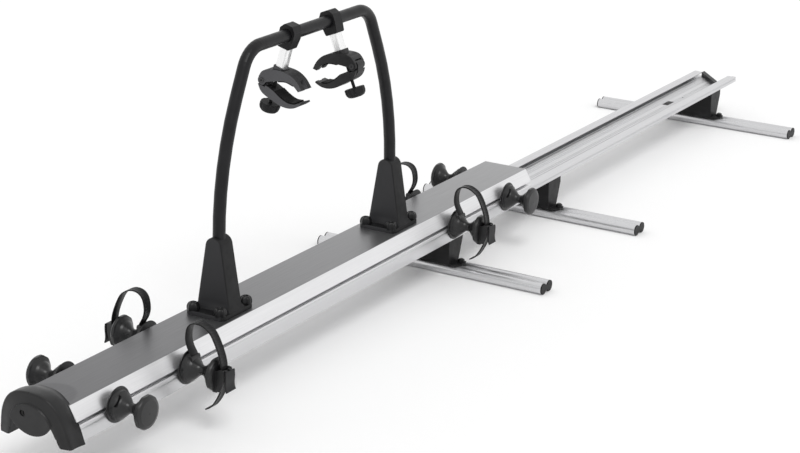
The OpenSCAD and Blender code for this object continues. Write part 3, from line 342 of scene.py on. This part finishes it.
def dress(look, *names):
    """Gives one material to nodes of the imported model."""
    for name in names:
        mesh = nodes[name].data
        if not mesh.materials:
            mesh.materials.append(look.material)
        for i in range(len(mesh.materials)):
            mesh.materials[i] = look.material


def numbered(stem, count):
    return [f"{stem}_{i + 1}" for i in range(count)]


# Places repeated from the part's source, in millimetres: X from the beam's rear end, Z from the ground
RAIL_FRONT = -460.0
BEAM_TOP = 189.2
SLOT_LEVEL = 151.0

# Painted shadow of the cap on the beam's top
PAINTED_SHADOW_AT = (-2004.0, 8.0, BEAM_TOP)
PAINTED_SHADOW_REACH = (82.0, 68.0)

# Cap: heights from its foot on, half outlines of its front rim and its rear edge, and inner edge of a leg
CAP_REAR = -2002.0
CAP_FOOT = 103.2
CAP_RIM = 37.0
CAP_NOSE = 9.0
CAP_LEAN = 0.13
ARCH_FRONT = ((94.5, 4), (92.5, 18), (89, 35), (84.5, 53), (78, 70), (69, 86), (56.5, 100), (40, 110), (20, 115),
              (0, 116))
ARCH_REAR = ((99.5, 5), (96, 14), (90, 31), (82.5, 49), (73, 67), (62.5, 85), (48, 98), (33, 106.5), (17, 110.5),
             (0, 111.3))
LEG_INNER = ((67.5, 4), (60.5, 22), (51, 46))
RIM_ROUND = 4.0
CROWN_REACH = 30.0
LIP_ROUND = 2.0

# The cap's lens between two arcs, and the hole for its lock
BOSS_UP = 52.0
BOSS_HALF = 54.0
BOSS_RISE = 40.0
BOSS_DROP = 34.5
BOSS_THICK = 4.0
BOSS_SLOPE = 2.0
LOCK_Y = 16.0
LOCK_UP = 68.2
LOCK_HOLE = 7.4
LOCK_DEEP = 14.0

# Fineness of the cap's mesh
ARCH_STEPS = 6
EDGE_STEP = 1.5
BULGE_STEPS = 16
LENS_STEPS = 30
LOCK_SIDES = 24
FACE_GRID = 4.0
RIM_LINES = (0.5, 1.4, 2.8, 4.6, 7.0)
LENS_LINES = (-1.0, -0.3, 0.3, 1.0)
WALL_SHARES = (0.15, 0.4, 0.6, 0.7, 0.78, 0.86, 0.93, 0.985, 1.0)

# Feet: plate as length, width and thickness; tower and bolts
LEG_PLACES = (-1391.5, -641.5)
FOOT_HEIGHT = 172.0
FOOT_PLATE = (126.0, 108.0, 10.0)
PLATE_CORNER = 15.0
TOWER_HALF = 46.0
TOWER_TOP_RADIUS = 22.0
TOWER_SINK = 1.5
FLARE_HEIGHT = 9.0
FOOT_BOLT_X = 50.0
FOOT_BOLT_Y = 38.0
FOOT_BOLT_RADIUS = 16.0
FOOT_BOLT_HEIGHT = 17.4
FOOT_BOLT_SINK = 0.5
BOLT_SIDES = 48

# Straps: place and side of each strapped spool, its inner and outer face, the top of the loop and the ridges
SPOOL_PLACES = {1: (-1632.2, -1), 2: (-443.3, -1), 3: (-1545.0, 1), 4: (-353.0, 1)}
SPOOL_INNER = 88.6
SPOOL_OUTER = 172.6
STRAP_RISE = 109.0
RIDGE_STEP = 1.15
RIDGE_HIGH = 1.45
RIDGE_LOW = 0.75

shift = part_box("rail")[0].x / MM - RAIL_FRONT


def place(x, y, z):
    """A point of the source's layout, in metres in the model's frame."""
    return ((x + shift) * MM, y * MM, z * MM)


def piece(name, points, faces, look, body, stands_for, angle):
    """Makes a mesh piece that rides on a body; edges sharper than the angle stay sharp."""
    mesh = bpy.data.meshes.new(name)
    mesh.from_pydata([place(*p) for p in points], [], faces)
    tidy = bmesh.new()
    tidy.from_mesh(mesh)
    bmesh.ops.remove_doubles(tidy, verts=tidy.verts, dist=1e-6)
    bmesh.ops.recalc_face_normals(tidy, faces=tidy.faces)
    tidy.to_mesh(mesh)
    tidy.free()
    mesh.shade_smooth()
    mesh.set_sharp_from_angle(angle=math.radians(angle))
    mesh.materials.append(look.material)
    made = bpy.data.objects.new(name, mesh)
    bpy.context.scene.collection.objects.link(made)
    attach(made, body)
    if stands_for:
        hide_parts(*stands_for)


def smooth(t):
    """Eases from 0 to 1."""
    t = max(0.0, min(1.0, t))
    return t * t * (3 - 2 * t)


def quarter(t):
    """Height of a quarter circle from its edge at 0 to its top at 1."""
    return math.sqrt(max(0.0, 1 - (1 - min(t, 1.0)) ** 2))


def rounded_outline(points, r, steps):
    """Closed outline with each corner rounded."""
    out = []
    count = len(points)
    for i in range(count):
        b = Vector(points[i])
        u = (Vector(points[i - 1]) - b).normalized()
        w = (Vector(points[(i + 1) % count]) - b).normalized()
        half = math.acos(max(-1.0, min(1.0, u.dot(w)))) / 2
        start = b + u * (r / math.tan(half))
        centre = b + (u + w).normalized() * (r / math.sin(half))
        a = math.atan2(start.y - centre.y, start.x - centre.x)
        end = b + w * (r / math.tan(half))
        sweep = math.atan2(end.y - centre.y, end.x - centre.x) - a
        sweep = (sweep + 3 * math.pi) % (2 * math.pi) - math.pi
        for k in range(steps + 1):
            turn = a + sweep * k / steps
            out.append((centre.x + r * math.cos(turn), centre.y + r * math.sin(turn)))
    return out


def curve_through(points, steps):
    """Points of a smooth open curve through all given points."""
    out = []
    count = len(points)
    for i in range(count - 1):
        a, b, c, d = (Vector(points[max(min(j, count - 1), 0)]) for j in (i - 1, i, i + 1, i + 2))
        for s in range(steps):
            t = s / steps
            twice = 2 * b + (c - a) * t
            twice += (2 * a - 5 * b + 4 * c - d) * t ** 2
            twice += (3 * b - a - 3 * c + d) * t ** 3
            out.append(0.5 * twice)
    out.append(Vector(points[-1]))
    return out


def join_loops(faces, first, count, loops, closed=True):
    """Adds the faces between loops of points that follow each other from a first point on."""
    for k in range(loops - 1):
        a, b = first + k * count, first + (k + 1) * count
        for i in range(count if closed else count - 1):
            j = (i + 1) % count
            faces.append((a + i, a + j, b + j, b + i))


def prism(outline, levels, to_point):
    """Closed skin through copies of an outline: levels is a list of (height, inset)."""
    points, faces = [], []
    count = len(outline)
    for height, inset in levels:
        for i in range(count):
            a, b, c = Vector(outline[i - 1]), Vector(outline[i]), Vector(outline[(i + 1) % count])
            t = (c - a).normalized()
            n = Vector((-t.y, t.x))
            points.append(to_point(b + n * inset, height))
    join_loops(faces, 0, count, len(levels))
    faces.append(tuple(range(count)))
    faces.append(tuple(range((len(levels) - 1) * count, len(levels) * count)))
    return points, faces


def mirrored_arch(half):
    """Whole arch from one side's foot over the top to the other side's."""
    points = [tuple(p) for p in curve_through(half, ARCH_STEPS)]
    return [(-y, z) for y, z in points] + [(y, z) for y, z in reversed(points[:-1])]


def inside(p, outline):
    """Tells whether a point lies in a closed outline."""
    found = False
    for (y1, z1), (y2, z2) in zip(outline, outline[1:] + outline[:1]):
        if (z1 > p[1]) != (z2 > p[1]) and p[0] < y1 + (y2 - y1) * (p[1] - z1) / (z2 - z1):
            found = not found
    return found


def fill(path, step):
    """Points along a line at even steps."""
    out = []
    for (a, b), (c, d) in zip(path, path[1:]):
        n = max(1, int(math.hypot(c - a, d - b) / step))
        out.extend((a + (c - a) * k / n, b + (d - b) * k / n) for k in range(n))
    out.append(path[-1])
    return out


def to_line(y, z, line):
    """Distance to the nearest point of a dense line."""
    return min(math.hypot(y - a, z - b) for a, b in line)


def lens_arcs():
    """Radius and centre height of the lens's upper arc and of its lower arc."""
    upper_r = (BOSS_HALF ** 2 + BOSS_RISE ** 2) / (2 * BOSS_RISE)
    lower_r = (BOSS_HALF ** 2 + BOSS_DROP ** 2) / (2 * BOSS_DROP)
    return (upper_r, BOSS_UP + BOSS_RISE - upper_r), (lower_r, BOSS_UP - BOSS_DROP + lower_r)


def cap_gaps():
    """Edge of the gap between the cap's legs: in front, where the lens bulges into it, and at the rear."""
    lower_r, lower_z = lens_arcs()[1]
    *leg, (top_y, top_z) = LEG_INNER
    bulge = []
    for k in range(2 * BULGE_STEPS + 1):
        y = top_y * (1 - k / BULGE_STEPS)
        bulge.append((y, lower_z - math.sqrt(lower_r ** 2 - y ** 2)))
    far_leg = [(-y, z) for y, z in reversed(leg)]
    return leg + bulge + far_leg, leg + [(y, top_z) for y, z in bulge] + far_leg


def cap_face_points(outline, rim, gap):
    """Points of the cap's face: its outline, lines beside the rim and the lens's edge, and an even grid."""
    (upper_r, upper_z), (lower_r, lower_z) = lens_arcs()
    extra = []
    for inset in RIM_LINES:
        for k in range(2, len(rim) - 1, 2):
            t = (Vector(rim[k + 1]) - Vector(rim[k - 1])).normalized()
            extra.append(Vector(rim[k]) + Vector((t.y, -t.x)) * inset)
    for offset in LENS_LINES:
        for r, z, up in ((upper_r + offset, upper_z, 1), (lower_r + offset, lower_z, -1)):
            reach = math.asin(min(1.0, BOSS_HALF / r))
            for k in range(2 * LENS_STEPS + 1):
                a = reach * (k / LENS_STEPS - 1)
                extra.append(Vector((r * math.sin(a), z + up * r * math.cos(a))))
    for i in range(-24, 25):
        for j in range(1, 28):
            extra.append(Vector((i * FACE_GRID, j * FACE_GRID)))
    # Points too close to an edge would give slivers
    return [Vector(p) for p in outline] + [
        p for p in extra if inside(p, outline) and to_line(*p, gap) > 0.5 and to_line(*p, rim) > 0.35]


def cap_cover(look):
    """Moulded cap with a rounded rim, a crowned leaning face and a lens-shaped boss; it stands for the plain solid."""
    arch, arch_rear = mirrored_arch(ARCH_FRONT), mirrored_arch(ARCH_REAR)
    gap, gap_rear = cap_gaps()
    outline, outline_rear = arch + gap, arch_rear + gap_rear
    count = len(outline)
    rim, lip = fill(arch, EDGE_STEP), fill(gap, EDGE_STEP)
    (upper_r, upper_z), (lower_r, lower_z) = lens_arcs()

    def depth(y, z):
        """Place of the face along X: rounded at both edges, crowned, and raised in the lens."""
        edge = to_line(y, z, rim)
        in_lens = min(upper_r - math.hypot(y, z - upper_z), lower_r - math.hypot(y, z - lower_z))
        out = RIM_ROUND * quarter(edge / RIM_ROUND) + (CAP_NOSE - RIM_ROUND) * smooth(edge / CROWN_REACH)
        out += BOSS_THICK * smooth(in_lens / BOSS_SLOPE + 0.5)
        back = LIP_ROUND * (1 - quarter(to_line(y, z, lip) / LIP_ROUND))
        return CAP_REAR - CAP_RIM - CAP_LEAN * z - out + back

    # Face with a hole for the lock
    points = cap_face_points(outline, rim, lip)
    edges = [(i, (i + 1) % count) for i in range(count)]
    start = len(points)
    turns = [2 * math.pi * k / LOCK_SIDES for k in range(LOCK_SIDES)]
    hole = [(LOCK_Y + LOCK_HOLE * math.cos(a), LOCK_UP + LOCK_HOLE * math.sin(a)) for a in turns]
    points += [Vector(p) for p in hole]
    edges += [(start + k, start + (k + 1) % LOCK_SIDES) for k in range(LOCK_SIDES)]
    flat, _, triangles, _, _, _ = delaunay_2d_cdt(points, edges, [], 1, 1e-5)
    verts = [(depth(p.x, p.y), p.x, p.y + CAP_FOOT) for p in flat]
    faces = []
    for t in triangles:
        c = sum((flat[i] for i in t), Vector((0, 0))) / len(t)
        if math.hypot(c.x - LOCK_Y, c.y - LOCK_UP) > LOCK_HOLE:
            faces.append(tuple(t))

    # Walls from the face to the rear edge, and the rear side
    front = len(verts)
    near = [depth(y, z) for y, z in outline]
    verts += [(x, y, z + CAP_FOOT) for x, (y, z) in zip(near, outline)]
    for share in WALL_SHARES:
        # The arch takes its rear form late and the gap at once; the last loop tucks the rear edge in
        arch_part, gap_part = smooth(share * 1.8 - 0.8), min(1.0, share * 6)
        tuck = 0.99 if share == 1.0 else 1.0
        for i, (x, (y, z), (y_rear, z_rear)) in enumerate(zip(near, outline, outline_rear)):
            part = arch_part if i < len(arch) else gap_part
            verts.append((x + (CAP_REAR - x) * share, (y + (y_rear - y) * part) * tuck,
                          (z + (z_rear - z) * part) * tuck + CAP_FOOT))
    join_loops(faces, front, count, len(WALL_SHARES) + 1)
    last = front + len(WALL_SHARES) * count
    faces.append(tuple(range(last, last + count)))

    # Wall and floor of the hole
    tube = len(verts)
    for deep in (0.0, LOCK_DEEP):
        verts += [(depth(y, z) + deep, y, z + CAP_FOOT) for y, z in hole]
    join_loops(faces, tube, LOCK_SIDES, 2)
    faces.append(tuple(range(tube + LOCK_SIDES, tube + 2 * LOCK_SIDES)))
    piece("cap_cover", verts, faces, look, "slide", ("cap",), 30.0)


def flare(z):
    """Share of a tower's flare at a height, from 1 at its foot."""
    return max(0.0, 1 - z / FLARE_HEIGHT) ** 2


def tower_arch():
    """Outline of a foot's tower across the beam: two leaning sides that flare at the foot, and a round top."""
    r = TOWER_TOP_RADIUS
    circle_z = FOOT_HEIGHT - r
    lean = math.atan2(TOWER_HALF - r, circle_z)
    side = []
    for k in range(15):
        t = k / 14
        z = (circle_z + r * math.sin(lean)) * t
        y = TOWER_HALF + (r * math.cos(lean) - TOWER_HALF) * t
        y += 7.0 * flare(z)
        side.append((-y, z))
    arc = []
    for k in range(1, 24):
        a = math.pi - lean + (2 * lean - math.pi) * k / 24
        arc.append((r * math.cos(a), circle_z + r * math.sin(a)))
    return side + arc + [(-y, z) for y, z in reversed(side)]


def foot_cover(number, x, look):
    """Moulded foot: a bolted plate with a raised border and a tapered arch-shaped tower with rounded edges."""
    length, width, thick = FOOT_PLATE
    corners = [(-length / 2, -width / 2), (length / 2, -width / 2), (length / 2, width / 2), (-length / 2, width / 2)]

    def plate_point(p, height):
        return (x + p.x, p.y, BEAM_TOP + height)

    levels = [(0.0, 0.0), (thick * 0.75, 0.0), (thick, 0.8), (thick, 3.0), (thick - 1.2, 4.0)]
    verts, faces = prism(rounded_outline(corners, PLATE_CORNER, 8), levels, plate_point)
    arch = tower_arch()
    count = len(arch)
    # Place along X as a share of the half length, and inset from the arch
    rear_half = [(0.8, 0.0), (0.9, 0.15), (0.955, 0.8), (0.985, 2.0), (1.0, 4.0), (1.0, 7.0)]
    stations = [(-share, inset) for share, inset in reversed(rear_half)] + rear_half
    first = len(verts)
    for share, inset in stations:
        for i, (y, z) in enumerate(arch):
            a, b = Vector(arch[max(i - 1, 0)]), Vector(arch[min(i + 1, count - 1)])
            t = (b - a).normalized()
            half = 26.0 - 2.0 * z / FOOT_HEIGHT + 6.0 * flare(z)
            verts.append((x + share * half, y + t.y * inset,
                          max(z - t.x * inset, 0.0) + BEAM_TOP + thick - TOWER_SINK))
    join_loops(faces, first, count, len(stations), closed=False)
    # The two ends, in strips from side to side
    for start in (first, first + (len(stations) - 1) * count):
        for i in range(count // 2):
            j = count - 1 - i
            if i + 1 < j - 1:
                faces.append((start + i, start + i + 1, start + j - 1, start + j))
            elif i + 1 == j - 1:
                faces.append((start + i, start + i + 1, start + j))
    piece(f"foot_cover_{number}", verts, faces, look, "slide", ("feet",) if number == 1 else (), 38.0)


def bolt_heads(look):
    """Domed heads of the foot bolts, with finger lobes and a dished top."""
    verts, faces = [], []
    # Shares of the radius and of the height
    profile = [(1.0, 0.0), (1.0, 0.32), (0.97, 0.5), (0.88, 0.72), (0.74, 0.9), (0.58, 1.0), (0.46, 1.0), (0.36, 0.86),
               (0.0, 0.8)]
    places = [(x + i * FOOT_BOLT_X, j * FOOT_BOLT_Y) for x in LEG_PLACES for i in (-1, 1) for j in (-1, 1)]
    z = BEAM_TOP + FOOT_PLATE[2] - FOOT_BOLT_SINK
    for x, y in places:
        first = len(verts)
        for r, h in profile:
            for k in range(BOLT_SIDES):
                a = 2 * math.pi * k / BOLT_SIDES
                lobe = 1 - 0.20 * (0.5 + 0.5 * math.cos(5 * a)) * smooth((r - 0.4) / 0.4)
                reach = FOOT_BOLT_RADIUS * r * lobe
                verts.append((x + reach * math.cos(a), y + reach * math.sin(a), z + FOOT_BOLT_HEIGHT * h))
        join_loops(faces, first, BOLT_SIDES, len(profile))
        faces.append(tuple(range(first, first + BOLT_SIDES)))
    piece("foot_bolt_heads", verts, faces, look, "slide", ("foot_bolts",), 40.0)


def strap_piece(number, look):
    """Ladder strap: a band with soft edges and cross ridges between two smooth margins."""
    x, side = SPOOL_PLACES[number]
    # The band starts in the spool's slot and ends in a tail outside the buckle
    anchor, tail, rise = SPOOL_INNER + 16.0, SPOOL_OUTER + 11.65, STRAP_RISE
    path = curve_through([
        (anchor, 21), (anchor, 32), (SPOOL_INNER + 6, 50), (SPOOL_INNER + 1.5, 70), (SPOOL_INNER + 6, rise - 14),
        (SPOOL_INNER + 20, rise - 1), (SPOOL_INNER + 42, rise), (SPOOL_INNER + 64, rise - 12), (tail - 19, rise - 30),
        (tail - 7, 52), (tail - 1, 30), (tail, 10), (tail, -24), (tail - 6, -42), (tail - 17, -62), (tail - 29, -77),
        (tail - 44, -86)], 24)
    spaced, gone = [path[0]], 0.0
    for a, b in zip(path, path[1:]):
        gone += (b - a).length
        if gone >= RIDGE_STEP:
            spaced.append(b)
            gone = 0.0
    # Section of the band: a height of zero marks the ridged part between the margins
    across = [(-12.5, 0.7), (-11.6, 1.5), (-8.6, 1.5), (-8.1, 0.0), (8.1, 0.0), (8.6, 1.5), (11.6, 1.5), (12.5, 0.7),
              (12.5, -0.7), (11.6, -1.5), (-11.6, -1.5), (-12.5, -0.7)]
    verts, faces = [], []
    for i, p in enumerate(spaced):
        t = (spaced[min(i + 1, len(spaced) - 1)] - spaced[max(i - 1, 0)]).normalized()
        n = Vector((-t.y, t.x))
        ridge = RIDGE_HIGH if (i // 2) % 2 else RIDGE_LOW
        for u, v in across:
            q = p + n * (ridge if v == 0.0 else v)
            verts.append((x + u, side * q.x, SLOT_LEVEL + q.y))
    count = len(across)
    join_loops(faces, 0, count, len(spaced))
    faces.append(tuple(range(count)))
    faces.append(tuple(range((len(spaced) - 1) * count, len(spaced) * count)))
    body = nodes[f"strap_{number}"]["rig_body"]
    piece(f"ladder_strap_{number}", verts, faces, look, body, (f"strap_{number}",), 50.0)


make_camera()
make_light()
make_floor()

dress(beam_material(), "beam")
dress(aluminium("rail_aluminium", (0.62, 0.62, 0.63), 0.34), "rail")
dress(aluminium("bar_aluminium", (0.60, 0.60, 0.61), 0.3, along=1), "cross_bars")
dress(aluminium("bracket_steel", (0.7, 0.7, 0.7), 0.35), "roller_bracket", "roller_pin")
dress(aluminium("bolt_steel", (0.62, 0.62, 0.63), 0.3), *numbered("spool_bolt", 8))
dress(moulded("lock_black", (0.006, 0.006, 0.006), 0.35, 300.0, 0.05, 0.3), "lock")
dress(moulded("pin_steel", (0.03, 0.03, 0.031), 0.4, 300.0, 0.1, 0.4), *numbered("jaw_pin", 2))
dress(aluminium("arm_aluminium", (0.88, 0.88, 0.88), 0.3, along=2), *numbered("arm", 2))
cap_look = moulded("cap_plastic", BLACK, 0.36, specular=0.34)
dress(cap_look, "cap")
feet_look = moulded("feet_plastic", (0.005, 0.005, 0.0055), 0.48)
# Painted light: faces that turn along X, front and rear, are painted lighter than the dark sides
feet_look.paint(feet_look.facing("X", 0.8, 0.97), (0.03, 0.03, 0.032))
dress(feet_look, "feet")
dress(moulded("fittings_plastic", BLACK, 0.45), "bar_plugs", "brackets", "end_stop",
      "catch_frame", "catch", "carriage", *numbered("collar", 2))
dress(moulded("spool_plastic", (0.007, 0.007, 0.0075), 0.33, 900.0, 0.15, 0.42), *numbered("spool", 8))
bolt_look = moulded("bolt_black", BLACK, 0.34)
dress(bolt_look, "bracket_bolts", "foot_bolts")
jaw_look = moulded("jaw_plastic", (0.012, 0.012, 0.013), 0.5)
# Painted reflection: the first clamp's jaws get lighter side faces across X, where light catches them
jaw_look.paint(jaw_look.facing("X", 0.9, 0.98), (0.085, 0.085, 0.09))
dress(jaw_look, "upper_jaw_1", "lower_jaw_1")
dress(moulded("jaw_black", (0.007, 0.007, 0.0075), 0.42, 900.0, 0.2, 0.4), "upper_jaw_2", "lower_jaw_2")
dress(moulded("rubber", (0.006, 0.006, 0.006), 0.75, 700.0, 0.4, 0.15),
      *numbered("upper_pad", 2), *numbered("lower_pad", 2))
dress(moulded("knob_plastic", BLACK, 0.5), *numbered("knob", 2))
dress(moulded("hoop_coat", (0.005, 0.005, 0.0058), 0.34, 500.0, 0.15, 0.24), "hoop")
strap_look = moulded("strap_plastic", BLACK, 0.42)
dress(strap_look, *numbered("strap", 4))
dress(moulded("lever_plastic", (0.01, 0.01, 0.011), 0.45), *numbered("lever", 4))
dress(moulded("roller_nylon", (0.72, 0.70, 0.64), 0.45), "front_rollers", "rear_rollers")

cap_cover(cap_look)
for i, leg in enumerate(LEG_PLACES):
    foot_cover(i + 1, leg, feet_look)
bolt_heads(bolt_look)
for number in SPOOL_PLACES:
    strap_piece(number, strap_look)
